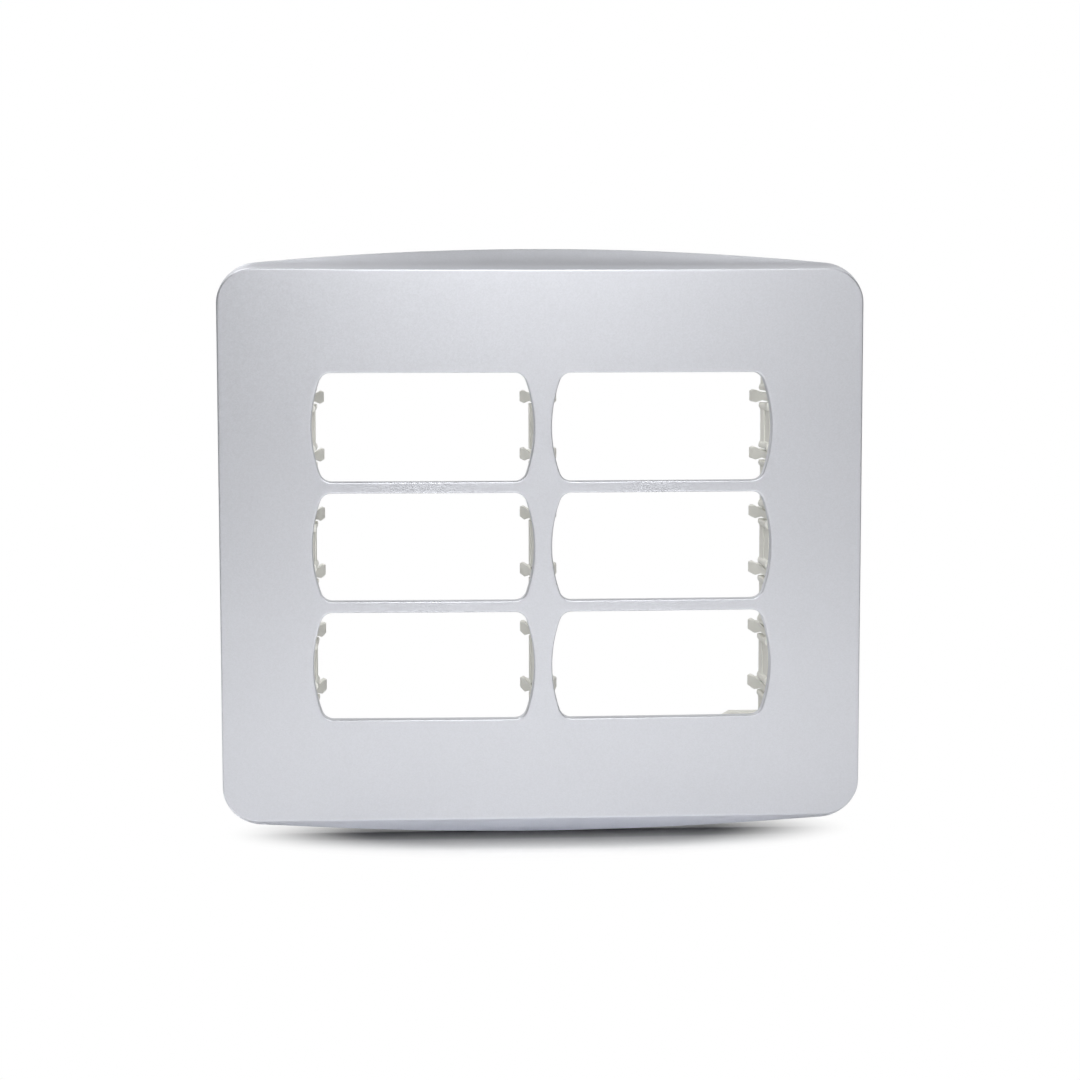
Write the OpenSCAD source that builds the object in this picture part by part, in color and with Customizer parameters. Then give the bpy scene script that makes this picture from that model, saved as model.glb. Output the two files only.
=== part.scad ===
// Six-module grid switch plate: a clip-on cover over a moulded support frame,
// with the four captive screws that hold the frame to a flush wall box.
// +Z is up, -Y faces the room, and the wall plane is Y = 0.

/* [Cover] */
// Width across the rear rim
cover_w = 131.4; // [131.2:0.1:133]
// Height between the crowns of the rear rim
cover_h = 120.8; // [120:0.1:122]
// Depth at the left and right edges
cover_d = 7; // [6.8:0.1:8]
// Width of the face
face_w = 130.8; // [129:0.1:131]
// Height of the face
face_h = 112.4; // [112:0.1:113]
// Corner radius of the face
face_corner_r = 7.2; // [6:0.1:8]
// How far the middle of the face stands in front of its left and right edges
face_bulge = 2; // [1:0.1:2.5]
// Corner radius of the rear rim
corner_r = 8.4; // [7:0.1:9]
// Fall of the rear rim from its crown to the side of the cover
crown_fall = 3.6; // [3:0.1:3.8]
// Radius of the hollow between the face's edge and the rear rim
cove_r = 10; // [9.5:0.1:11]
// Wall thickness
cover_wall = 2.4; // [1.8:0.1:2.5]

/* [Module grid] */
// Number of columns
columns = 2; // [2:1:2]
// Number of rows
rows = 3; // [3:1:3]
// Distance between columns
column_pitch = 48.65; // [48.4:0.05:49]
// Distance between rows
row_pitch = 24.35; // [24:0.05:24.5]
// Width of a window at its middle
window_w = 45; // [44:0.1:45.4]
// Height of a window
window_h = 22; // [20:0.1:22.2]
// Radius of a window's bowed sides
window_bow_r = 28; // [24:0.5:40]
// Corner radius of a window
window_corner_r = 2.5; // [1.5:0.1:3.5]

/* [Support frame] */
// Width of the frame
frame_w = 121; // [119:0.5:122]
// Height of the frame
frame_h = 104; // [102:0.5:104.5]
// Thickness of the frame's plate
frame_t = 1.6; // [1.4:0.1:1.8]
// Width of a column's aperture between its side walls
aperture_w = 44.15; // [43.8:0.05:44.4]
// Height of a column's aperture
aperture_h = 74.8; // [74:0.1:75.2]
// Thickness of the aperture's outer walls
frame_wall = 1.6; // [1.4:0.1:1.8]
// How far the aperture's walls reach behind the wall plane
wall_reach = 5; // [4:0.1:6]

/* [Module clips] */
// Distance between the two clips of a module, on each side
clip_pitch = 12; // [11:0.1:13]
// Width of a clip's arm
clip_arm_w = 1.6; // [1.4:0.1:2]
// Width of a clip's head where it is widest
clip_head_w = 2.7; // [2.2:0.1:3.2]
// How far a clip's head stands into the aperture
clip_bite = 1.6; // [1.2:0.05:2]
// How far the clips reach behind the wall plane
clip_reach = 10; // [9:0.1:11]
// How far a module's clips stand below the middle of its window
clip_drop = 0.3; // [0:0.1:0.5]

/* [Fixing screws] */
// Distance between the upper and lower screws
fixing_h = 83.5; // [83.3:0.1:84]
// Length of a screw below its head
screw_l = 22; // [16:1:25]
// Diameter over a screw's thread
screw_d = 3.5; // [3:0.1:3.5]
// Diameter of the plain neck under a screw's head
neck_d = 2.8; // [2.5:0.1:2.9]

/* [Hidden] */

cover_colour = "#C6C9D0";
frame_colour = "#DAD9CE";
screw_colour = "#B4B7BA";

// Cover. The hollow's section is a circle whose centre lies cove_lead in front of the face's sides.
front_y = -cover_d - face_bulge;
face_r = (pow(face_w / 2, 2) + pow(face_bulge, 2)) / (2 * face_bulge);
crown_r = (pow(cover_w / 2, 2) + pow(crown_fall, 2)) / (2 * crown_fall);
cove_lead = 2.4;
cove_y = -cover_d - cove_lead;
arc_steps = 6;
bow_steps = 6;
crown_steps = 12;
// Segments of each kind of round form
face_fn = 1440;
cove_fn = 180;
screw_fn = 64;
slot_fn = 48;
bead_fn = 32;

// Cutters pass a face by this much, or by the smaller value where another wall is near
over = 1;
small_over = 0.25;

// Support frame
frame_corner_r = 5;
plate_front_y = -4;
plate_back_y = plate_front_y + frame_t;
half_mullion = (column_pitch - aperture_w) / 2;
outer_wall_x = column_pitch / 2 + aperture_w / 2;
outer_wall_front_y = -5.4;
mullion_front_y = -6.2;
mullion_groove = 1.7;
mullion_web = 1.7;
ledge_w = 0.3;
ledge_y = 0;
rib_t = 1.2;

// Module clips
clip_t = 1.2;
clip_root_y = -3;
clip_gap = 0.5;
clip_slope_l = 2.2;
clip_knee_x = 0.9;
clip_land_l = 1;
clip_corner = 0.3;
bead_r = 1.1;
bead_sink = 0.75;
bead_z = clip_arm_w / 2 + clip_gap + bead_r / 2;

// Hooks that hold the cover to the frame: x, z and the way their nibs point
hook_root_y = -6.8;
hook_w = 8;
hook_t = 1.4;
hook_nib = 0.9;
hook_nib_l = 1.4;
hook_gap = 0.5;
top_hook_x = 42;
top_hook_z = 46;
side_hook_x = 54;
side_hook_z = 20;
HOOKS = [
    for (sx = [-1, 1], sz = [-1, 1]) [sx * top_hook_x, sz * top_hook_z, 90 * sz],
    for (sx = [-1, 1], sz = [-1, 1]) [sx * side_hook_x, sz * side_hook_z, 90 - 90 * sx]
];
stop_t = 1.2;
stop_l = 6;
stop_offset = 7;

// Fixing screws
fixing_w = column_pitch;
slot_l = 9;
slot_w = 4.2;
slot_wall = 2.2;
head_d = 6.6;
head_h = 2.2;
head_gap = 0.5;
seat_y = plate_front_y + 1;
recess_w = 0.9;
recess_l = 3.8;
recess_depth = 1.3;
neck_l = -seat_y;
neck_taper = 0.3;
tip_l = 1;

// Key block at the lower right corner of the right-hand aperture
key_l = 7;
key_h = 1.9;
key_run = 3.6;
key_front_y = -3;

function column_x(i) = (i - (columns - 1) / 2) * column_pitch;
function row_z(j) = ((rows - 1) / 2 - j) * row_pitch;

// Points of an arc, from angle a0 to angle a1
function arc(centre, r, a0, a1, n) =
    [for (i = [0:n]) let (a = a0 + (a1 - a0) * i / n) centre + r * [cos(a), sin(a)]];

// Points of the upper right quarter of an outline, turned into the whole of it
function four_fold(q) = let (n = len(q)) concat(
    q,
    [for (i = [n - 1:-1:0]) [q[i].x, -q[i].y]],
    [for (i = [0:n - 1]) [-q[i].x, -q[i].y]],
    [for (i = [n - 1:-1:0]) [-q[i].x, q[i].y]]);

// Rear rim: a crowned top and bottom, straight sides and round corners
function rim_points(inset) =
    let (
        crown_z = cover_h / 2 - crown_r,
        corner_x = cover_w / 2 - corner_r,
        rise = sqrt(pow(crown_r - corner_r, 2) - pow(corner_x, 2)),
        meet = atan2(rise, corner_x)
    )
    four_fold(concat(
        arc([0, crown_z], crown_r - inset, 90, meet, crown_steps),
        arc([corner_x, crown_z + rise], corner_r - inset, meet, 0, arc_steps)));

function rounded_points(w, h, r) =
    four_fold(arc([w / 2 - r, h / 2 - r], r, 90, 0, arc_steps));

// Window: flat top and bottom, bowed sides and round corners
function window_points() =
    let (
        bow_x = window_w / 2 - window_bow_r,
        corner_z = window_h / 2 - window_corner_r,
        reach = window_bow_r - window_corner_r,
        corner_x = bow_x + sqrt(pow(reach, 2) - pow(corner_z, 2)),
        meet = atan2(corner_z, corner_x - bow_x)
    )
    four_fold(concat(
        arc([corner_x, corner_z], window_corner_r, 90, meet, arc_steps),
        arc([bow_x, 0], window_bow_r, meet, 0, bow_steps)));

// Extrudes a shape drawn in X and Z from y_front to y_back
module along_y(y_front, y_back) {
    translate([0, y_back, 0]) rotate([90, 0, 0]) linear_extrude(height = y_back - y_front) children();
}

// Block between two corners
module block(low, high) {
    translate(low) cube(high - low);
}

// Section of the hollow's cutter. X points outward from the face's edge and Y to the front.
module cove_section(grow) {
    translate([cove_r, 0]) circle(cove_r + grow, $fn = cove_fn);
    translate([-grow, 0]) square(cove_r);
}

// Cutter of the hollow, swept round the edge of the face
module cove(grow) {
    run_x = face_w / 2 - face_corner_r;
    run_z = face_h / 2 - face_corner_r;
    translate([0, cove_y, 0]) {
        for (s = [0, 1]) {
            mirror([0, 0, s]) translate([-run_x, 0, face_h / 2]) rotate([0, -90, 180])
                linear_extrude(height = 2 * run_x) cove_section(grow);
            mirror([s, 0, 0]) translate([face_w / 2, 0, run_z]) rotate([180, 0, 0])
                linear_extrude(height = 2 * run_z) cove_section(grow);
        }
        for (sx = [0, 1], sz = [0, 1]) mirror([sx, 0, 0]) mirror([0, 0, sz])
            translate([run_x, 0, run_z]) rotate([90, 0, 0])
                rotate_extrude(angle = 90, $fn = cove_fn) translate([face_corner_r, 0]) cove_section(grow);
    }
}

// The cover's outer form, drawn in by inset: the crowned rim under a face that bulges to the
// front, with the hollow round it
module cover_form(inset, back_y) {
    difference() {
        intersection() {
            along_y(front_y - over, back_y) polygon(rim_points(inset));
            translate([0, front_y + face_r, -cover_h])
                cylinder(r = face_r - inset, h = 2 * cover_h, $fn = face_fn);
        }
        cove(inset);
    }
}

module windows() {
    for (i = [0:columns - 1], j = [0:rows - 1])
        translate([column_x(i), 0, row_z(j)])
            along_y(front_y - over, 0) polygon(window_points());
}

// Hook on the inside of the cover: a tongue through the frame's plate, with a nib behind it
module hook() {
    nib_top = plate_back_y + hook_nib_l;
    translate([0, 0, -hook_w / 2]) linear_extrude(height = hook_w) polygon([
        [-hook_t / 2, hook_root_y],
        [hook_t / 2, hook_root_y],
        [hook_t / 2, plate_back_y],
        [hook_t / 2 + hook_nib, plate_back_y],
        [hook_t / 2 + hook_nib, plate_back_y + hook_nib_l / 3],
        [hook_t / 2, nib_top],
        [-hook_t / 2, nib_top]
    ]);
}

// Ribs beside a hook, which stop the cover on the frame's plate
module hook_stops() {
    for (s = [-1, 1])
        block([-stop_l / 2, hook_root_y, s * stop_offset - stop_t / 2],
              [stop_l / 2, plate_front_y, s * stop_offset + stop_t / 2]);
}

module cover_plate() {
    color(cover_colour) {
        difference() {
            cover_form(0, 0);
            cover_form(cover_wall, over);
            windows();
        }
        for (h = HOOKS) translate([h[0], 0, h[1]]) rotate([0, -h[2], 0]) {
            hook();
            hook_stops();
        }
    }
}

module slot(w, l, y_front, y_back) {
    run = (l - w) / 2;
    for (s = [-1, 1])
        translate([s * run, y_back, 0]) rotate([90, 0, 0])
            cylinder(d = w, h = y_back - y_front, $fn = slot_fn);
    block([-run, y_front, -w / 2], [run, y_back, w / 2]);
}

module at_fixings() {
    for (sx = [-1, 1], sz = [-1, 1])
        translate([sx * fixing_w / 2, 0, sz * fixing_h / 2]) children();
}

// Places a clip's form at each of the twenty-four places, or only at those on the two outer walls.
// X points into the aperture.
module at_clips(outer_only = false) {
    for (i = [0:columns - 1], j = [0:rows - 1], side = [-1, 1], k = [-1, 1])
        if (!outer_only || side * column_x(i) > 0)
            translate([column_x(i) + side * aperture_w / 2, 0, row_z(j) - clip_drop + k * clip_pitch / 2])
                mirror([side > 0 ? 1 : 0, 0, 0]) children();
}

// Clip: a long arm in a cut in the aperture's wall, with a head that widens to a knee at the
// wall's edge and then narrows a little to its tip
module clip() {
    slope_y = wall_reach - clip_slope_l;
    block([-clip_t, clip_root_y - over, -clip_arm_w / 2], [0, clip_reach, clip_arm_w / 2]);
    intersection() {
        translate([0, 0, -clip_head_w]) linear_extrude(height = 2 * clip_head_w) polygon([
            [-clip_t, slope_y],
            [0, slope_y],
            [clip_knee_x, wall_reach],
            [clip_bite, clip_reach - clip_land_l],
            [clip_bite, clip_reach],
            [-clip_t, clip_reach]
        ]);
        along_y(slope_y - over, clip_reach + over) polygon([
            [-clip_t, -clip_arm_w / 2],
            [0, -clip_arm_w / 2],
            [clip_knee_x, -clip_head_w / 2],
            [clip_bite, clip_corner - clip_head_w / 2],
            [clip_bite, clip_head_w / 2 - clip_corner],
            [clip_knee_x, clip_head_w / 2],
            [0, clip_arm_w / 2],
            [-clip_t, clip_arm_w / 2]
        ]);
    }
}

// Round beads on an outer wall, which the clip's cut slices into a shoulder on each side of it
module clip_beads() {
    for (s = [-1, 1])
        translate([-bead_sink, wall_reach, s * bead_z]) rotate([90, 0, 0])
            cylinder(r = bead_r, h = wall_reach - outer_wall_front_y, $fn = bead_fn);
}

module clip_cut() {
    half = clip_arm_w / 2 + clip_gap;
    block([-frame_wall - small_over, clip_root_y, -half], [small_over, wall_reach + over, half]);
}

// Open walls of the two apertures, before their cuts
module aperture_walls() {
    x = outer_wall_x + frame_wall;
    z = aperture_h / 2 + frame_wall;
    block([-x, outer_wall_front_y, -z], [x, 0, z]);
    for (s = [-1, 1]) translate([s * (outer_wall_x + frame_wall / 2), 0, 0])
        block([-frame_wall / 2, outer_wall_front_y, -z], [frame_wall / 2, wall_reach, z]);
    block([-half_mullion, mullion_front_y, -z], [half_mullion, wall_reach, z]);
}

// Cutters of the two apertures, each a little wider in front of a ledge on its side walls
module apertures() {
    x = aperture_w / 2;
    z = aperture_h / 2;
    for (i = [0:columns - 1]) translate([column_x(i), 0, 0]) {
        block([-x, front_y, -z], [x, clip_reach, z]);
        block([-x - ledge_w, front_y, -z], [x + ledge_w, ledge_y, z]);
    }
}

// Flat plate with a turned-back edge that stands on the wall
module frame_plate() {
    along_y(plate_front_y, plate_back_y) polygon(rounded_points(frame_w, frame_h, frame_corner_r));
    along_y(plate_front_y, 0) difference() {
        polygon(rounded_points(frame_w, frame_h, frame_corner_r));
        polygon(rounded_points(frame_w - 2 * frame_wall, frame_h - 2 * frame_wall,
                               frame_corner_r - frame_wall));
    }
}

// Ribs behind the plate, from the aperture's walls to the turned-back edge
module frame_ribs() {
    x_in = outer_wall_x + frame_wall / 2;
    x_out = frame_w / 2 - frame_wall / 2;
    z_in = aperture_h / 2 + frame_wall / 2;
    z_out = frame_h / 2 - frame_wall / 2;
    for (s = [-1, 1], z = [-1.5 * row_pitch, -row_pitch / 2, row_pitch / 2, 1.5 * row_pitch])
        block([min(s * x_in, s * x_out), plate_front_y, z - rib_t / 2],
              [max(s * x_in, s * x_out), 0, z + rib_t / 2]);
    for (s = [-1, 1], x = [-outer_wall_x + rib_t, -rib_t / 2, outer_wall_x - 2 * rib_t])
        block([x, plate_front_y, min(s * z_in, s * z_out)],
              [x + rib_t, 0, max(s * z_in, s * z_out)]);
}

module hook_windows() {
    for (h = HOOKS) translate([h[0], 0, h[1]]) rotate([0, -h[2], 0])
        block([-hook_t / 2 - hook_gap, plate_front_y - over, -hook_w / 2 - hook_gap],
              [hook_t / 2 + hook_nib + hook_gap, over, hook_w / 2 + hook_gap]);
}

// Low block with a sloping end, in the lower right corner of the right-hand aperture
module corner_key() {
    z = -aperture_h / 2;
    along_y(key_front_y, 0) polygon([
        [outer_wall_x + frame_wall / 2, z - frame_wall / 2],
        [outer_wall_x + frame_wall / 2, z + key_h],
        [outer_wall_x - key_l, z + key_h],
        [outer_wall_x - key_l - key_run, z],
        [outer_wall_x - key_l - key_run, z - frame_wall / 2]
    ]);
}

// Plate, ribs, walls and screw bosses, with the two apertures open
module frame_body() {
    difference() {
        union() {
            frame_plate();
            frame_ribs();
            aperture_walls();
            at_fixings() slot(slot_w + 2 * slot_wall, slot_l + 2 * slot_wall, plate_front_y, 0);
        }
        apertures();
    }
}

module support_frame() {
    color(frame_colour) {
        difference() {
            union() {
                frame_body();
                at_clips(outer_only = true) clip_beads();
            }
            block([-mullion_groove / 2, mullion_front_y + mullion_web, -aperture_h / 2],
                  [mullion_groove / 2, wall_reach + over, aperture_h / 2]);
            at_clips() clip_cut();
            hook_windows();
            at_fixings() slot(slot_w, slot_l, plate_front_y - over, over);
            at_fixings() slot(head_d + head_gap, slot_l + head_d + head_gap - slot_w,
                              plate_front_y - over, seat_y);
        }
        at_clips() clip();
        corner_key();
    }
}

// Pan-headed screw with a cross recess and a plain neck where it passes the frame's slot
module box_screw(sx, sz) {
    shank_r = screw_d / 2;
    color(screw_colour) translate([sx * fixing_w / 2, seat_y, sz * fixing_h / 2]) rotate([-90, 0, 0]) {
        difference() {
            rotate_extrude($fn = screw_fn) polygon(concat(
                [[0, screw_l], [shank_r - tip_l / 2, screw_l], [shank_r, screw_l - tip_l],
                 [shank_r, neck_l], [neck_d / 2, neck_l - neck_taper], [neck_d / 2, 0], [head_d / 2, 0]],
                arc([head_d / 2 - head_h / 2, -head_h / 2], head_h / 2, 0, -90, 6),
                [[0, -head_h]]));
            for (a = [0, 90]) rotate([0, 0, a])
                block([-recess_l / 2, -recess_w / 2, -head_h - over],
                      [recess_l / 2, recess_w / 2, -head_h + recess_depth]);
        }
    }
}

cover_plate();
support_frame();
box_screw(-1, 1);  // box_screw_top_left
box_screw(1, 1);  // box_screw_top_right
box_screw(-1, -1);  // box_screw_bottom_left
box_screw(1, -1);  // box_screw_bottom_right
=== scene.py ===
"""Looks of the six-module grid switch plate: a silver cover, a cream support frame and four box screws.

Lengths in the mesh code are millimetres in the frame's axes (+Z up, -Y to the room), and each finished
mesh is scaled to metres once, in add_piece().
"""
from math import asin, atan2, ceil, cos, hypot, pi, radians, sin, sqrt

import bmesh
import bpy
from mathutils import Matrix, Vector
from mathutils.geometry import delaunay_2d_cdt

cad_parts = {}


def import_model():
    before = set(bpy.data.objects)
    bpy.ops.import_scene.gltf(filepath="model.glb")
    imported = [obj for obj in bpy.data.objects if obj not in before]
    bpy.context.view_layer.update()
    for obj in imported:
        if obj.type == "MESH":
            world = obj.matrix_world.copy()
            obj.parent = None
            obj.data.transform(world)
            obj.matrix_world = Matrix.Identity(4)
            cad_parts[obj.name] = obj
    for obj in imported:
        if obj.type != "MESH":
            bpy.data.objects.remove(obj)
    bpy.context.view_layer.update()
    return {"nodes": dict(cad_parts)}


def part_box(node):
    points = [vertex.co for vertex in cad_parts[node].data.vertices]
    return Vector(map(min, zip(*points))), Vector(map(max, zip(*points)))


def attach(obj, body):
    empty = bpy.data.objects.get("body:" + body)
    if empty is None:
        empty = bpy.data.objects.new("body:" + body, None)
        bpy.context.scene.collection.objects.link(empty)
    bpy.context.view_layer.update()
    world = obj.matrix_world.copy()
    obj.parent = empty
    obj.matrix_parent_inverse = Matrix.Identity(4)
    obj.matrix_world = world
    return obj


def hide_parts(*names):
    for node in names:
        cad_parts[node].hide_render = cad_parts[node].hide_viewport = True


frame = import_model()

MM = 0.001

# Sizes that the frame gives
cover_low, cover_high = (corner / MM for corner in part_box("cover_plate"))
COVER_W = cover_high.x - cover_low.x
COVER_H = cover_high.z - cover_low.z
FRONT_Y = cover_low.y

# Cover
FACE_W = 130.8
FACE_H = 112.4
FACE_CORNER_R = 7.2
FACE_BULGE = 2.0
FACE_R = ((FACE_W / 2) ** 2 + FACE_BULGE ** 2) / (2 * FACE_BULGE)
RIM_CORNER_R = 8.4
CROWN_FALL = 3.6
CROWN_R = ((COVER_W / 2) ** 2 + CROWN_FALL ** 2) / (2 * CROWN_FALL)
CROWN_Z = COVER_H / 2 - CROWN_R
RIM_CORNER_X = COVER_W / 2 - RIM_CORNER_R
RIM_CORNER_Z = CROWN_Z + sqrt((CROWN_R - RIM_CORNER_R) ** 2 - RIM_CORNER_X ** 2)
COVE_R = 10.0
COVE_LEAD = 2.4
COVE_Y = FRONT_Y + FACE_BULGE - COVE_LEAD
WALL = 2.4
EDGE_R = 0.4
BACK_EDGE_R = 0.2

# Module windows
COLUMN_PITCH, ROW_PITCH = 48.65, 24.35
COLUMN_X = (-COLUMN_PITCH / 2, COLUMN_PITCH / 2)
ROW_Z = (ROW_PITCH, 0.0, -ROW_PITCH)
WINDOW_W = 45.0
WINDOW_H = 22.0
WINDOW_BOW_R = 28.0
WINDOW_CORNER_R = 2.5
WINDOW_EDGE_R = 0.35

# Hooks and stops on the inside of the cover: x, z and the turn about Y
TOP_HOOK_X, TOP_HOOK_Z = 42, 46
SIDE_HOOK_X, SIDE_HOOK_Z = 54, 20
CORNERS = [(sx, sz) for sx in (-1, 1) for sz in (-1, 1)]
HOOKS = [(sx * TOP_HOOK_X, sz * TOP_HOOK_Z, 90 * sz) for sx, sz in CORNERS]
HOOKS += [(sx * SIDE_HOOK_X, sz * SIDE_HOOK_Z, 90 - 90 * sx) for sx, sz in CORNERS]
HOOK_ROOT_Y, HOOK_SEAT_Y, HOOK_TIP_Y = -6.8, -2.4, -1.0
HOOK_W, HOOK_T, HOOK_NIB, HOOK_EDGE_R = 8.0, 1.4, 0.9, 0.15
STOP_T, STOP_L, STOP_OFFSET, STOP_Y = 1.2, 6.0, 7.0, -4.0

# Box screws: their places, then sizes along and across the shank, and how far each is turned, in degrees
SCREW_X, SCREW_Z = COLUMN_PITCH / 2, 83.5 / 2
SCREW_SEAT_Y, SCREW_THREAD_Y, SCREW_END_Y = -3.0, 0.0, 19.0
SCREW_HEAD_R, SCREW_HEAD_H, SCREW_NECK_R = 3.3, 2.2, 1.4
HEAD_CHAMFER_W, HEAD_CHAMFER_H, HEAD_DIMPLE_R = 0.15, 0.2, 0.02
THREAD_R, THREAD_ROOT_R, THREAD_PITCH = 1.75, 1.34, 0.7
THREAD_RUN_OUT, THREAD_FLAT = 0.5, 1.5
TIP_TAPER, TIP_DROP = 1.2, 0.5
RECESS_R, RECESS_FLOOR_R, RECESS_W, RECESS_DEPTH = 1.9, 0.6, 0.85, 1.4
RECESS_OVER, RECESS_WIDEN, RECESS_NARROW = 0.5, 0.1, 0.2
SCREW_TURNS = {"top_left": 12, "top_right": 61, "bottom_left": 34, "bottom_right": 79}

# Support frame
FRAME_EDGE_R = 0.14
EDGE_ANGLE = 40

# Finishes: linear colours, then scales in features per metre, depths in metres, roughness from low to high
PAINT_DARK, PAINT_LIGHT = (0.595, 0.605, 0.64), (0.635, 0.645, 0.685)
PAINT_ROUGHNESS, PAINT_METALLIC = (0.38, 0.46), 0.7
FLAKE_SCALE, FLAKE_TILT, FLAKE_SHARE = 4200.0, 0.02, 0.85
PAINT_CLOUD_SCALE = 350.0
PEEL_SCALE, PEEL_DEPTH, PEEL_STRENGTH = 900.0, 0.00001, 0.15
CREAM_DARK, CREAM_LIGHT = (0.83, 0.825, 0.765), (0.885, 0.88, 0.825)
CREAM_ROUGHNESS = (0.42, 0.56)
CREAM_CLOUD_SCALE = 120.0
GRAIN_SCALE, GRAIN_DEPTH, GRAIN_STRENGTH = 5000.0, 0.00002, 0.4
ZINC_DARK, ZINC_LIGHT = (0.5, 0.5, 0.48), (0.66, 0.66, 0.63)
ZINC_ROUGHNESS = (0.22, 0.42)
ZINC_SCALE, ZINC_DEPTH, ZINC_STRENGTH = 900.0, 0.00001, 0.3

# Camera: focal length and width in the photo's pixels, angles in radians, and where it stands about the point
# CAMERA_TARGET, in millimetres to the right, above and behind along its own axes
SENSOR_W, PHOTO_W, FOCAL_LENGTH = 36, 1080, 2332.4
CAMERA_YAW, CAMERA_PITCH, CAMERA_ROLL = 0.0587, 0.0933, 0.0014
CAMERA_RIGHT, CAMERA_ABOVE, CAMERA_BEHIND = -0.558, 1.197, 476.6
CAMERA_TARGET = (0, -7, 0)
CAMERA_SIGHT = 20

# Studio, in metres apart from the gap under the plate. Colours above 1 lift what their rays see.
FLOOR_GAP = 0.02
FLOOR_HALF = 3.0
FLOOR_ALBEDO, FLOOR_SEEN, BACKDROP_ALBEDO = 0.85, 1.12, 0.8
# Floor colours that glossy rays see: lifted more near the plate, a painted brightening over the plate's own shade
FLOOR_MIRRORED_NEAR, FLOOR_MIRRORED_FAR = 1.9, 1.45
FLOOR_WHITE_FROM, FLOOR_WHITE_TO, FLOOR_SQUEEZE = 0.015, 0.028, 0.42
# Painted contact shadow: reach, power and darkest colour of the ambient-occlusion shade painted into the floor's
# colour under the plate
PAINTED_SHADOW_REACH, PAINTED_SHADOW_POWER, PAINTED_SHADOW_DARK = 0.014, 2.0, 0.13
BACKDROP_Y, BACKDROP_HALF_W, BACKDROP_H = 1.2, 2.5, 1.25
ROOM = 0.04

# Mesh steps
SCREW_STEPS = 36
SUPPORT = 0.3
CORNER_STEPS = 24
RUN_STEP = 2.0
EDGE_STEPS = 6
COVE_STEPS = 14
WINDOW_ARC_STEPS = 10
FILL_STEP = 2.5
TINY_STEP = 0.01
FILL_MARGIN = 1.0
MERGE = 1e-6
HALVINGS = 40
EDGE_SEARCH = (-4, 4)
WALL_SEARCH = (-8, 12)


def arc_stations(cx, cz, radius, start, end, steps):
    """Stations (x, z, outward x, outward z) along an arc, angles in radians."""
    angles = [start + (end - start) * k / steps for k in range(steps + 1)]
    return [(cx + radius * cos(a), cz + radius * sin(a), cos(a), sin(a)) for a in angles]


def run_stations(a, b):
    """Stations strictly between two others that share one normal, on the straight run between them."""
    n = ceil(hypot(b[0] - a[0], b[1] - a[1]) / RUN_STEP)
    return [(a[0] + (b[0] - a[0]) * k / n, a[1] + (b[1] - a[1]) * k / n, a[2], a[3]) for k in range(1, n)]


def four_fold(quarter):
    """Closed loop from the quarter that runs from the top, clockwise, to the right."""
    loop = list(quarter)
    loop += [(x, -z, nx, -nz) for x, z, nx, nz in reversed(quarter)]
    loop += [(-x, -z, -nx, -nz) for x, z, nx, nz in quarter]
    loop += [(-x, z, -nx, nz) for x, z, nx, nz in reversed(quarter)]
    closed = []
    for i, station in enumerate(loop):
        after = loop[(i + 1) % len(loop)]
        gap = hypot(after[0] - station[0], after[1] - station[1])
        if gap < TINY_STEP / 10:
            continue
        closed.append(station)
        if gap > RUN_STEP:
            closed += run_stations(station, after)
    return closed


def face_loop():
    """Stations round the edge of the face."""
    x, z = FACE_W / 2 - FACE_CORNER_R, FACE_H / 2 - FACE_CORNER_R
    return four_fold(arc_stations(x, z, FACE_CORNER_R, pi / 2, 0, CORNER_STEPS))


def window_loop():
    """Stations round a window about its own middle, with normals that point into the window's wall."""
    bow_x = WINDOW_W / 2 - WINDOW_BOW_R
    corner_z = WINDOW_H / 2 - WINDOW_CORNER_R
    corner_x = bow_x + sqrt((WINDOW_BOW_R - WINDOW_CORNER_R) ** 2 - corner_z ** 2)
    meet = atan2(corner_z, corner_x - bow_x)
    corner = arc_stations(corner_x, corner_z, WINDOW_CORNER_R, pi / 2, meet, WINDOW_ARC_STEPS)
    bow = arc_stations(bow_x, 0, WINDOW_BOW_R, meet, 0, WINDOW_ARC_STEPS)
    return four_fold(corner + bow[1:])


def face_y(x, inset=0.0):
    """Y of the bulging face, or of the surface that lies inset behind it."""
    return FRONT_Y + FACE_R - sqrt((FACE_R - inset) ** 2 - x * x)


def rim_distance(x, z):
    """How far a point lies outside the rear rim's outline. It is negative inside."""
    x, z = abs(x), abs(z)
    angle = atan2(z - RIM_CORNER_Z, x - RIM_CORNER_X)
    crown_angle = atan2(RIM_CORNER_Z - CROWN_Z, RIM_CORNER_X)
    if x > RIM_CORNER_X and 0 < angle < crown_angle:
        return hypot(x - RIM_CORNER_X, z - RIM_CORNER_Z) - RIM_CORNER_R
    if z <= RIM_CORNER_Z and x > RIM_CORNER_X:
        return x - COVER_W / 2
    return hypot(x, z - CROWN_Z) - CROWN_R


def last_true(test, low, high):
    """Where a test that holds at low and fails at high changes, by halving."""
    for _ in range(HALVINGS):
        middle = (low + high) / 2
        low, high = (middle, high) if test(middle) else (low, middle)
    return low


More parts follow.
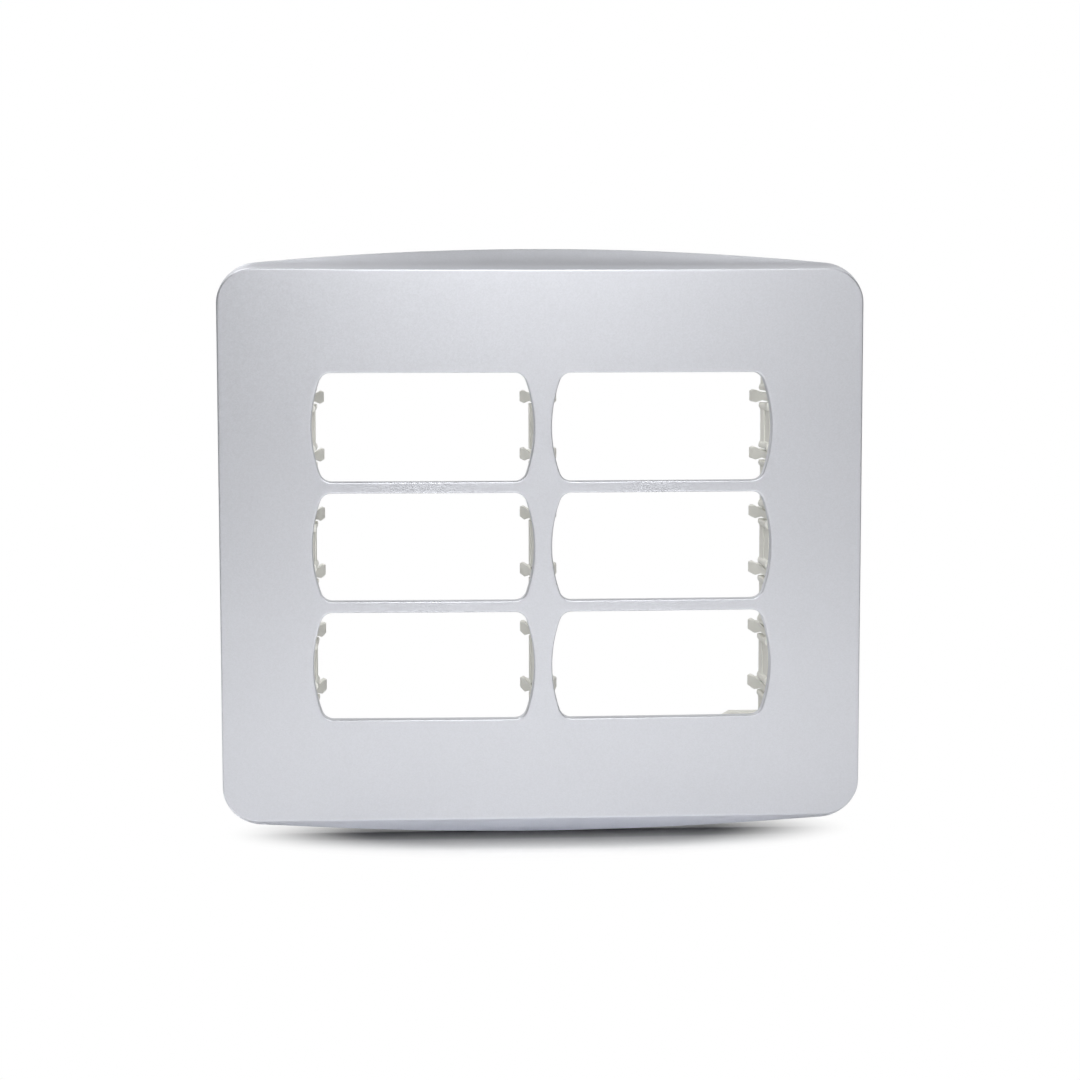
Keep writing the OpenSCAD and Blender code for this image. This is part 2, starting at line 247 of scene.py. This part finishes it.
class Section:
    """Section of the cover's edge in the plane of a station's normal and Y.

    Its points are (outward, y): outward is measured from the face's edge."""

    def __init__(self, station):
        self.x, self.z, self.nx, self.nz = station

    def wall(self, inset):
        """Outward distance of the rear rim, drawn in by inset."""
        def clear(outward):
            return rim_distance(self.x + self.nx * outward, self.z + self.nz * outward) < -inset

        return last_true(clear, *WALL_SEARCH)

    def face_point(self, outward, inset=0.0):
        return outward, face_y(self.x + self.nx * outward, inset)

    def outer(self):
        """From the support loop on the face, over its edge, down the hollow and the rim to the back."""
        wall = self.wall(0)
        reach = COVE_R + EDGE_R

        def ball(outward):
            """Centre of the rounding ball that touches the face there."""
            tilt = asin((self.x + self.nx * outward) * self.nx / FACE_R)
            o, y = self.face_point(outward)
            return o - EDGE_R * sin(tilt), y + EDGE_R * cos(tilt), tilt

        def clear(outward):
            o, y, _ = ball(outward)
            return o < wall - EDGE_R and hypot(COVE_R - o, y - COVE_Y) > reach

        start = last_true(clear, *EDGE_SEARCH)
        o, y, tilt = ball(start)
        hollow = hypot(COVE_R - o, y - COVE_Y) < reach + TINY_STEP and o < wall - EDGE_R - TINY_STEP
        end = atan2(COVE_Y - y, COVE_R - o) if hollow else 0.0
        points = [self.face_point(start - SUPPORT)]
        points += round_points(o, y, EDGE_R, tilt - pi / 2, end, EDGE_STEPS)
        if hollow:
            lip_o = wall - EDGE_R
            lip_y = COVE_Y + sqrt(reach ** 2 - (COVE_R - lip_o) ** 2)
            begin, stop = asin((y - COVE_Y) / reach), asin((lip_y - COVE_Y) / reach)
            for k in range(1, COVE_STEPS):
                a = begin + (stop - begin) * k / COVE_STEPS
                points.append((COVE_R - COVE_R * cos(a), COVE_Y + COVE_R * sin(a)))
            points += round_points(lip_o, lip_y, EDGE_R, -stop, 0.0, EDGE_STEPS)
        else:
            points += [(wall, y + TINY_STEP * k) for k in range(1, COVE_STEPS + EDGE_STEPS + 1)]
        points.append((wall, -BACK_EDGE_R - SUPPORT))
        points += round_points(wall - BACK_EDGE_R, -BACK_EDGE_R, BACK_EDGE_R, 0.0, pi / 2, 3)
        return points

    def inner(self):
        """From the back, up the inside of the rim and the hollow to the inside of the face."""
        wall = self.wall(WALL)
        reach = COVE_R + WALL

        def hollow(y):
            return COVE_R - sqrt(reach ** 2 - (y - COVE_Y) ** 2)

        def bound(y):
            return min(wall, hollow(y))

        front = last_true(lambda y: y < self.face_point(bound(y), WALL)[1], FRONT_Y, 0)
        bend = last_true(lambda y: hollow(y) < wall, front, 0) if hollow(front) < wall else front
        points = [(wall, 0.0), (wall, bend / 2)]
        points += [(bound(bend + (front - bend) * k / COVE_STEPS - TINY_STEP * k * (bend == front)),
                    bend + (front - bend) * k / COVE_STEPS) for k in range(COVE_STEPS + 1)]
        return points

    def place(self, point):
        outward, y = point
        return Vector((self.x + self.nx * outward, y, self.z + self.nz * outward))


def round_points(o, y, radius, start, end, steps):
    """Points (outward, y) of an arc about (o, y)."""
    angles = [start + (end - start) * k / steps for k in range(steps + 1)]
    return [(o + radius * cos(a), y + radius * sin(a)) for a in angles]


def add_rings(bm, rings, flip=False):
    """Quads between successive closed rings of vertices."""
    for inner, outer in zip(rings, rings[1:]):
        n = len(inner)
        for i in range(n):
            quad = [inner[i], inner[(i + 1) % n], outer[(i + 1) % n], outer[i]]
            bm.faces.new(quad[::-1] if flip else quad)


def new_ring(bm, points):
    return [bm.verts.new(p) for p in points]


def in_window(x, z, margin):
    """Whether a point lies in a module window that is grown by margin."""
    for cx in COLUMN_X:
        for cz in ROW_Z:
            dx, dz = abs(x - cx), abs(z - cz)
            if dx < WINDOW_W / 2 + margin and dz < WINDOW_H / 2 + margin:
                bow_x = WINDOW_W / 2 - WINDOW_BOW_R
                if hypot(dx - bow_x, dz) < WINDOW_BOW_R + margin:
                    return True
    return False


def fill_between(bm, outer, holes, height, margin):
    """Fills the region between an outer ring and its holes with even triangles at Y = height(x)."""
    rings = [outer] + holes
    flat, edges, source = [], [], []
    for ring in rings:
        first = len(flat)
        flat += [Vector((v.co.x, v.co.z)) for v in ring]
        source += ring
        edges += [(first + i, first + (i + 1) % len(ring)) for i in range(len(ring))]
    half_w = max(v.co.x for v in outer) - margin
    half_h = max(v.co.z for v in outer) - margin
    columns, rows = int(half_w / FILL_STEP), int(half_h / FILL_STEP)
    for i in range(-columns, columns + 1):
        for j in range(-rows, rows + 1):
            x, z = i * half_w / columns, j * half_h / rows
            past_x = max(abs(x) - FACE_W / 2 + FACE_CORNER_R, 0)
            past_z = max(abs(z) - FACE_H / 2 + FACE_CORNER_R, 0)
            if hypot(past_x, past_z) < FACE_CORNER_R - 2 * margin and not in_window(x, z, margin):
                flat.append(Vector((x, z)))
                source.append(None)
    points, _, triangles, origins, _, _ = delaunay_2d_cdt(flat, edges, [], 0, MERGE)
    made = []
    for p, origin in zip(points, origins):
        known = next((source[k] for k in origin if source[k] is not None), None)
        made.append(known or bm.verts.new((p.x, height(p.x), p.y)))
    hole_shapes = [[(v.co.x, v.co.z) for v in ring] for ring in holes]
    outer_shape = [(v.co.x, v.co.z) for v in outer]
    for triangle in triangles:
        x = sum(points[k].x for k in triangle) / 3
        z = sum(points[k].y for k in triangle) / 3
        if inside(outer_shape, x, z) and not any(inside(shape, x, z) for shape in hole_shapes):
            bm.faces.new([made[k] for k in triangle])


def inside(shape, x, z):
    """Whether a point lies inside a closed outline."""
    result = False
    for (x0, z0), (x1, z1) in zip(shape, shape[1:] + shape[:1]):
        if (z0 > z) != (z1 > z) and x < x0 + (z - z0) * (x1 - x0) / (z1 - z0):
            result = not result
    return result


def window_rings(bm, cx, cz):
    """Rings of one window, from the face's support loop over its edge to the inside of the face."""
    steps = [(WINDOW_EDGE_R + SUPPORT, 0.0, 0.0)]
    for k in range(EDGE_STEPS + 1):
        a = pi / 2 * k / EDGE_STEPS
        steps.append((WINDOW_EDGE_R * (1 - sin(a)), WINDOW_EDGE_R * (1 - cos(a)), 0.0))
    steps.append((0.0, 0.0, WALL))
    rings = []
    for outward, sunk, inset in steps:
        places = [(cx + x + nx * outward, cz + z + nz * outward) for x, z, nx, nz in window_loop()]
        rings.append(new_ring(bm, [(x, face_y(x, inset) + sunk, z) for x, z in places]))
    return rings


def add_hooks(bm):
    """The hooks that hold the cover to the support frame, and the ribs that stop it on the frame's plate."""
    half_t = HOOK_T / 2
    lead_y = HOOK_SEAT_Y + (HOOK_TIP_Y - HOOK_SEAT_Y) / 3
    tongue = [(-half_t, HOOK_ROOT_Y), (half_t, HOOK_ROOT_Y), (half_t, HOOK_SEAT_Y), (half_t + HOOK_NIB, HOOK_SEAT_Y),
              (half_t + HOOK_NIB, lead_y), (half_t, HOOK_TIP_Y), (-half_t, HOOK_TIP_Y)]
    rib = [(-STOP_L / 2, HOOK_ROOT_Y), (STOP_L / 2, HOOK_ROOT_Y), (STOP_L / 2, STOP_Y), (-STOP_L / 2, STOP_Y)]
    bevelled = []
    for x, z, turn in HOOKS:
        move = Matrix.Translation((x, 0, z)) @ Matrix.Rotation(radians(-turn), 4, "Y")
        for outline, middle, width in ((tongue, 0, HOOK_W), (rib, -STOP_OFFSET, STOP_T), (rib, STOP_OFFSET, STOP_T)):
            ends = [[bm.verts.new(move @ Vector((px, py, middle + s * width / 2))) for px, py in outline]
                    for s in (-1, 1)]
            sides = [bm.faces.new((ends[0][i], ends[0][i - 1], ends[1][i - 1], ends[1][i]))
                     for i in range(len(outline))]
            caps = [bm.faces.new(ends[0]), bm.faces.new(reversed(ends[1]))]
            bevelled += {e for f in sides + caps for e in f.edges}
    bmesh.ops.bevel(bm, geom=bevelled, offset=HOOK_EDGE_R, segments=2, profile=0.5, affect="EDGES",
                    clamp_overlap=True)


def cover_mesh():
    bm = bmesh.new()
    sections = [Section(s) for s in face_loop()]
    columns = [(s, s.outer() + s.inner()) for s in sections]
    rings = [new_ring(bm, [s.place(points[k]) for s, points in columns]) for k in range(len(columns[0][1]))]
    add_rings(bm, rings)
    windows = [window_rings(bm, x, z) for x in COLUMN_X for z in ROW_Z]
    for window in windows:
        add_rings(bm, window, flip=True)
    fill_between(bm, rings[0], [w[0] for w in windows], face_y, FILL_MARGIN)
    fill_between(bm, rings[-1], [w[-1] for w in windows], lambda x: face_y(x, WALL), FILL_MARGIN)
    bmesh.ops.recalc_face_normals(bm, faces=bm.faces)
    add_hooks(bm)
    return bm


def frame_mesh():
    """The support frame's solid with every outer edge rounded."""
    bm = bmesh.new()
    bm.from_mesh(frame["nodes"]["support_frame"].data)
    bmesh.ops.scale(bm, vec=(1 / MM,) * 3, verts=bm.verts)
    bmesh.ops.remove_doubles(bm, verts=bm.verts, dist=TINY_STEP / 10)
    bm.normal_update()
    edges = [e for e in bm.edges if e.is_convex and e.calc_face_angle() > radians(EDGE_ANGLE)]
    bmesh.ops.bevel(bm, geom=edges, offset=FRAME_EDGE_R, segments=3, profile=0.5, affect="EDGES",
                    clamp_overlap=False)
    return bm


def thread_radius(y, angle):
    """Radius of the screw's shank, with a crested thread that runs out at both ends."""
    fade_in = min(max((y - SCREW_THREAD_Y) / THREAD_RUN_OUT, 0), 1)
    fade_out = min(max((SCREW_END_Y - y) / TIP_TAPER, 0), 1)
    phase = (y / THREAD_PITCH - angle / (2 * pi)) % 1
    crest = min(max(THREAD_FLAT - abs(4 * phase - 2), 0), 1)
    radius = SCREW_NECK_R + (THREAD_ROOT_R - SCREW_NECK_R) * fade_in
    return radius + (THREAD_R - THREAD_ROOT_R) * crest * fade_in * fade_out - TIP_DROP * (1 - fade_out)


def lathe(bm, profile):
    """Closed surface turned about Y from (radius, y) points, where radius may be a function of the angle."""
    rings = []
    for radius, y in profile:
        at = radius if callable(radius) else (lambda angle, r=radius: r)
        angles = [2 * pi * k / SCREW_STEPS for k in range(SCREW_STEPS)]
        rings.append(new_ring(bm, [(at(a) * cos(a), y, at(a) * sin(a)) for a in angles]))
    add_rings(bm, rings)
    for ring in (rings[0], rings[-1]):
        bm.faces.new(ring)
    bmesh.ops.recalc_face_normals(bm, faces=bm.faces)


def scratch_object(build):
    """A hidden helper object for a boolean step."""
    bm = bmesh.new()
    build(bm)
    mesh = bpy.data.meshes.new("scratch")
    bm.to_mesh(mesh)
    bm.free()
    obj = bpy.data.objects.new("scratch", mesh)
    bpy.context.scene.collection.objects.link(obj)
    return obj


def screw_blank(bm):
    """Head, neck and threaded shank, before the recess is cut."""
    top = SCREW_SEAT_Y - SCREW_HEAD_H
    round_r = SCREW_HEAD_H / 2
    profile = [(HEAD_DIMPLE_R, top), (SCREW_HEAD_R - round_r, top)]
    for k in range(1, EDGE_STEPS + 1):
        a = pi / 2 * k / EDGE_STEPS
        profile.append((SCREW_HEAD_R - round_r * (1 - sin(a)), top + round_r * (1 - cos(a))))
    profile += [(SCREW_HEAD_R, SCREW_SEAT_Y - HEAD_CHAMFER_H), (SCREW_HEAD_R - HEAD_CHAMFER_W, SCREW_SEAT_Y),
                (SCREW_NECK_R, SCREW_SEAT_Y)]
    rows = ceil((SCREW_END_Y - SCREW_THREAD_Y) / (THREAD_PITCH / 10))
    for k in range(rows + 1):
        y = SCREW_THREAD_Y + (SCREW_END_Y - SCREW_THREAD_Y) * k / rows
        profile.append((lambda angle, y=y: thread_radius(y, angle), y))
    lathe(bm, profile)


def recess_cutter(bm):
    """Tapered cross with a round core, as the tip of a cross-head driver."""
    mouth = (SCREW_SEAT_Y - SCREW_HEAD_H - RECESS_OVER, RECESS_R + RECESS_OVER, RECESS_W + RECESS_WIDEN)
    bottom = (SCREW_SEAT_Y - SCREW_HEAD_H + RECESS_DEPTH, RECESS_FLOOR_R, RECESS_W - RECESS_NARROW)
    for turn in (0, pi / 2):
        corners = []
        for y, length, width in (mouth, bottom):
            for sx, sz in ((-1, -1), (1, -1), (1, 1), (-1, 1)):
                x, z = sx * length, sz * width / 2
                corners.append(bm.verts.new((x * cos(turn) - z * sin(turn), y, x * sin(turn) + z * cos(turn))))
        for i in range(4):
            bm.faces.new((corners[i], corners[(i + 1) % 4], corners[4 + (i + 1) % 4], corners[4 + i]))
        bm.faces.new(corners[:4])
        bm.faces.new(corners[4:])
    bmesh.ops.recalc_face_normals(bm, faces=bm.faces)


def screw_mesh():
    blank, cutter = scratch_object(screw_blank), scratch_object(recess_cutter)
    cut = blank.modifiers.new("recess", "BOOLEAN")
    cut.operation, cut.solver, cut.object, cut.use_self = "DIFFERENCE", "EXACT", cutter, True
    bpy.context.view_layer.update()
    cut_mesh = bpy.data.meshes.new_from_object(blank.evaluated_get(bpy.context.evaluated_depsgraph_get()))
    for obj in (blank, cutter):
        bpy.data.objects.remove(obj)
    return cut_mesh


def screws(material):
    source = screw_mesh()
    for place, turn in SCREW_TURNS.items():
        bm = bmesh.new()
        bm.from_mesh(source)
        side = -1 if place.endswith("left") else 1
        height = 1 if place.startswith("top") else -1
        move = Matrix.Translation((side * SCREW_X, 0, height * SCREW_Z)) @ Matrix.Rotation(radians(turn), 4, "Y")
        bmesh.ops.transform(bm, matrix=move, verts=bm.verts)
        add_piece("threaded_screw_" + place, bm, material, "screw", "box_screw_" + place, sharp=40)
    bpy.data.meshes.remove(source)


def add_piece(name, bm, material, slot, *nodes, sharp=35):
    """Turns a mesh in millimetres into a piece in metres that stands for CAD nodes."""
    bmesh.ops.scale(bm, vec=(MM, MM, MM), verts=bm.verts)
    mesh = bpy.data.meshes.new(name)
    bm.to_mesh(mesh)
    bm.free()
    mesh.shade_smooth()
    mesh.set_sharp_from_angle(angle=radians(sharp))
    mesh.materials.append(material)
    piece = bpy.data.objects.new(name, mesh)
    bpy.context.scene.collection.objects.link(piece)
    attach(piece, "root")
    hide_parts(*nodes)
    return piece


class Nodes:
    """Short way to build a node tree: every call makes one node and links what it is given."""

    def __init__(self, tree):
        self.tree = tree

    def make(self, kind, settings=(), **inputs):
        node = self.tree.nodes.new("ShaderNode" + kind)
        for name, value in settings:
            setattr(node, name, value)
        for name, value in inputs.items():
            self.put(node, name.replace("_", " "), value)
        return node

    def blend(self, factor, low, high):
        """Shader that runs from low to high with the factor."""
        return self.make("MixShader", **{"0": factor, "1": low.outputs[0], "2": high.outputs[0]})

    def put(self, node, name, value):
        socket = node.inputs[int(name) if name.isdigit() else name]
        if isinstance(value, bpy.types.NodeSocket):
            self.tree.links.new(value, socket)
        else:
            socket.default_value = value


def new_material(name):
    """Material with its node builder and its principled shader."""
    material = bpy.data.materials.new(name)
    material.use_nodes = True
    return material, Nodes(material.node_tree), material.node_tree.nodes["Principled BSDF"]


def bare(owner):
    """Node builder of a material or a world, with an empty tree."""
    owner.use_nodes = True
    owner.node_tree.nodes.clear()
    return Nodes(owner.node_tree)


def noise(nodes, coordinates, scale, detail=2.0, roughness=0.5):
    """Noise of a given scale, in features per metre, as a factor from 0 to 1."""
    node = nodes.make("TexNoise", Vector=coordinates, Scale=scale, Detail=detail, Roughness=roughness)
    return node.outputs["Fac"]


def spread(nodes, factor, low, high):
    """The factor stretched from low to high."""
    node = nodes.make("MapRange", To_Min=low, To_Max=high)
    nodes.put(node, "Value", factor)
    return node.outputs["Result"]


def tinted(nodes, factor, low, high):
    """Colour that runs from low to high with the factor."""
    node = nodes.make("Mix", settings=[("data_type", "RGBA")])
    nodes.put(node, "0", factor)
    nodes.put(node, "6", (*low, 1))
    nodes.put(node, "7", (*high, 1))
    return node.outputs[2]


def relief(nodes, height, depth, strength):
    return nodes.make("Bump", Height=height, Distance=depth, Strength=strength).outputs["Normal"]


def silver_paint():
    """Satin silver paint: fine metal flakes, each tilted its own way, with a faint orange peel."""
    material, nodes, shader = new_material("silver_paint")
    at = nodes.make("TexCoord").outputs["Object"]
    flakes = nodes.make("TexVoronoi", Vector=at, Scale=FLAKE_SCALE)
    flake = nodes.make("SeparateColor", Color=flakes.outputs["Color"]).outputs["Red"]
    tilt = nodes.make("VectorMath", settings=[("operation", "SUBTRACT")])
    nodes.put(tilt, "0", flakes.outputs["Color"])
    nodes.put(tilt, "1", (0.5, 0.5, 0.5))
    tilted = nodes.make("VectorMath", settings=[("operation", "MULTIPLY_ADD")])
    nodes.put(tilted, "0", tilt.outputs["Vector"])
    nodes.put(tilted, "1", (FLAKE_TILT,) * 3)
    nodes.put(tilted, "2", nodes.make("NewGeometry").outputs["Normal"])
    facet = nodes.make("VectorMath", settings=[("operation", "NORMALIZE")])
    nodes.put(facet, "0", tilted.outputs["Vector"])
    cloud = noise(nodes, at, PAINT_CLOUD_SCALE, 3.0)
    mixed = nodes.make("Math", settings=[("operation", "MULTIPLY_ADD")])
    nodes.put(mixed, "0", flake)
    nodes.put(mixed, "1", FLAKE_SHARE)
    nodes.put(mixed, "2", spread(nodes, cloud, 0.0, 1 - FLAKE_SHARE))
    nodes.put(shader, "Base Color", tinted(nodes, mixed.outputs[0], PAINT_DARK, PAINT_LIGHT))
    nodes.put(shader, "Roughness", spread(nodes, flake, *PAINT_ROUGHNESS))
    peel = nodes.make("Bump", Height=noise(nodes, at, PEEL_SCALE), Distance=PEEL_DEPTH, Strength=PEEL_STRENGTH,
                      Normal=facet.outputs["Vector"])
    nodes.put(shader, "Normal", peel.outputs["Normal"])
    shader.inputs["Metallic"].default_value = PAINT_METALLIC
    return material


def cream_plastic():
    """Moulded cream plastic with a fine eroded texture."""
    material, nodes, shader = new_material("cream_plastic")
    at = nodes.make("TexCoord").outputs["Object"]
    cloud = noise(nodes, at, CREAM_CLOUD_SCALE, 3.0)
    grain = noise(nodes, at, GRAIN_SCALE, 3.0)
    nodes.put(shader, "Base Color", tinted(nodes, cloud, CREAM_DARK, CREAM_LIGHT))
    nodes.put(shader, "Roughness", spread(nodes, grain, *CREAM_ROUGHNESS))
    nodes.put(shader, "Normal", relief(nodes, grain, GRAIN_DEPTH, GRAIN_STRENGTH))
    return material


def zinc_plate():
    """Zinc-plated steel with the faint cloudiness of a tumbled finish."""
    material, nodes, shader = new_material("zinc_plate")
    at = nodes.make("TexCoord").outputs["Object"]
    cloud = noise(nodes, at, ZINC_SCALE, 4.0, 0.6)
    nodes.put(shader, "Base Color", tinted(nodes, cloud, ZINC_DARK, ZINC_LIGHT))
    nodes.put(shader, "Roughness", spread(nodes, cloud, *ZINC_ROUGHNESS))
    nodes.put(shader, "Normal", relief(nodes, cloud, ZINC_DEPTH, ZINC_STRENGTH))
    shader.inputs["Metallic"].default_value = 1.0
    return material


def camera():
    """Camera of the photo, which looks a little down and to the right."""
    data = bpy.data.cameras.new("camera")
    data.sensor_width = SENSOR_W
    data.lens = SENSOR_W * FOCAL_LENGTH / PHOTO_W
    data.clip_end = CAMERA_SIGHT
    cam = bpy.data.objects.new("camera", data)
    cy, sy = cos(CAMERA_YAW), sin(CAMERA_YAW)
    cp, sp = cos(CAMERA_PITCH), sin(CAMERA_PITCH)
    cr, sr = cos(CAMERA_ROLL), sin(CAMERA_ROLL)
    right = Vector((cr * cy - sr * sp * sy, -cr * sy - sr * sp * cy, -sr * cp))
    forward = Vector((cp * sy, cp * cy, -sp))
    up = Vector((sr * cy + cr * sp * sy, -sr * sy + cr * sp * cy, cr * cp))
    stand = CAMERA_RIGHT * right - CAMERA_BEHIND * forward + CAMERA_ABOVE * up
    pose = Matrix((right, up, -forward)).transposed().to_4x4()
    pose.translation = (stand + Vector(CAMERA_TARGET)) * MM
    cam.matrix_world = pose
    bpy.context.scene.collection.objects.link(cam)
    bpy.context.scene.camera = cam


def weighted(piece):
    """Keeps flat walls flat beside their rounded edges."""
    modifier = piece.modifiers.new("weighted_normals", "WEIGHTED_NORMAL")
    modifier.keep_sharp = True
    modifier.weight = 80


def stage_plane(name, corners, material):
    mesh = bpy.data.meshes.new(name)
    mesh.from_pydata(corners, [], [(0, 1, 2, 3)])
    mesh.materials.append(material)
    plane = bpy.data.objects.new(name, mesh)
    bpy.context.scene.collection.objects.link(plane)


def floor():
    """Pale floor. Near the plate the camera sees it lit, with the lamps' shadows and a painted contact shadow (its
    colour darkened by ambient occlusion), and white away from it. Glossy rays see it lit, but lighter than it is,
    with a painted lift where the plate shades it."""
    material = bpy.data.materials.new("floor")
    nodes = bare(material)
    path = nodes.make("LightPath")
    white = nodes.make("Emission", Color=(1, 1, 1, 1), Strength=1.0)
    lit = nodes.make("BsdfDiffuse", Color=(*(FLOOR_ALBEDO,) * 3, 1))
    # Painted contact shadow: ambient occlusion darkens the floor's colour, as the camera sees it, near the plate
    painted_contact_shadow = nodes.make("AmbientOcclusion", Distance=PAINTED_SHADOW_REACH)
    painted_shade = nodes.make("Math", settings=[("operation", "POWER")])
    nodes.put(painted_shade, "0", painted_contact_shadow.outputs["AO"])
    nodes.put(painted_shade, "1", PAINTED_SHADOW_POWER)
    seen = nodes.make("BsdfDiffuse", Color=spread(nodes, painted_shade.outputs[0], PAINTED_SHADOW_DARK, FLOOR_SEEN))
    squeezed = nodes.make("Mapping", Vector=nodes.make("TexCoord").outputs["Object"], Scale=(FLOOR_SQUEEZE, 1, 0))
    length = nodes.make("VectorMath", settings=[("operation", "LENGTH")])
    nodes.put(length, "0", squeezed.outputs["Vector"])
    away = nodes.make("MapRange", settings=[("interpolation_type", "SMOOTHSTEP")],
                      From_Min=FLOOR_WHITE_FROM, From_Max=FLOOR_WHITE_TO)
    nodes.put(away, "Value", length.outputs["Value"])
    shown = nodes.blend(away.outputs["Result"], seen, white)
    # Painted light: glossy rays see the floor's colour lifted more near the plate, where the plate shades it
    reflected = spread(nodes, away.outputs["Result"], FLOOR_MIRRORED_NEAR, FLOOR_MIRRORED_FAR)
    mirrored = nodes.blend(path.outputs["Is Glossy Ray"], lit, nodes.make("BsdfDiffuse", Color=reflected))
    nodes.make("OutputMaterial", Surface=nodes.blend(path.outputs["Is Camera Ray"], mirrored, shown).outputs[0])
    z = (cover_low.z - FLOOR_GAP) * MM
    h = FLOOR_HALF
    stage_plane("floor", [(-h, -h, z), (h, -h, z), (h, BACKDROP_Y, z), (-h, BACKDROP_Y, z)], material)


def backdrop():
    """White wall behind, which the camera and glossy rays see as plain white."""
    material = bpy.data.materials.new("backdrop")
    nodes = bare(material)
    path = nodes.make("LightPath")
    seen = nodes.make("Math", settings=[("operation", "MAXIMUM")])
    nodes.put(seen, "0", path.outputs["Is Camera Ray"])
    nodes.put(seen, "1", path.outputs["Is Glossy Ray"])
    white = nodes.make("Emission", Color=(1, 1, 1, 1), Strength=1.0)
    lit = nodes.make("BsdfDiffuse", Color=(*(BACKDROP_ALBEDO,) * 3, 1))
    nodes.make("OutputMaterial", Surface=nodes.blend(seen.outputs[0], lit, white).outputs[0])
    z = (cover_low.z - FLOOR_GAP) * MM
    w, h = BACKDROP_HALF_W, BACKDROP_H
    stage_plane("backdrop", [(-w, BACKDROP_Y, z), (w, BACKDROP_Y, z), (w, BACKDROP_Y, h), (-w, BACKDROP_Y, h)],
                material)


def world():
    """Room that is white to the camera and dim to everything else."""
    room = bpy.data.worlds.new("room")
    nodes = bare(room)
    path = nodes.make("LightPath")
    dim = nodes.make("Background", Color=(1, 1, 1, 1), Strength=ROOM)
    white = nodes.make("Background", Color=(1, 1, 1, 1), Strength=1.0)
    nodes.make("OutputWorld", Surface=nodes.blend(path.outputs["Is Camera Ray"], dim, white).outputs[0])
    bpy.context.scene.world = room


def softbox(name, place, target, size, radiance):
    """Square lamp of a given radiance at a place, facing a target."""
    data = bpy.data.lights.new(name, "AREA")
    data.shape = "SQUARE"
    data.size = size
    data.energy = pi * size * size * radiance
    lamp = bpy.data.objects.new(name, data)
    lamp.location = place
    lamp.rotation_euler = (place - target).to_track_quat("Z", "Y").to_euler()
    bpy.context.scene.collection.objects.link(lamp)


def around(azimuth, elevation, distance):
    """Place about the plate's middle. Azimuth 0 is the room's side."""
    a, e = radians(azimuth), radians(elevation)
    return Vector((sin(a) * cos(e), -cos(a) * cos(e), sin(e))) * distance


camera()
silver = silver_paint()
weighted(add_piece("cover_plate_moulding", cover_mesh(), silver, "cover", "cover_plate"))
weighted(add_piece("support_frame_moulding", frame_mesh(), cream_plastic(), "frame", "support_frame"))
screws(zinc_plate())

floor()
backdrop()
world()
middle = Vector((0, 0, 0))
softbox("floor_wash", Vector((0, -0.25, 0.16)), Vector((0, -0.2, -0.06)), size=0.2, radiance=3.15)
softbox("front_low", around(0, 30, distance=0.42), middle, size=0.2, radiance=3.7)
softbox("top_left", Vector((-0.25, 0.1, 0.5)), middle, size=0.25, radiance=7.0)
softbox("top_right", Vector((0.25, 0.1, 0.5)), middle, size=0.25, radiance=2.2)
softbox("high_right", around(60, 70, distance=0.6), middle, size=0.25, radiance=1.3)
softbox("right", around(30, 15, distance=0.6), middle, size=0.25, radiance=0.9)

bpy.context.scene.view_settings.view_transform = "Standard"
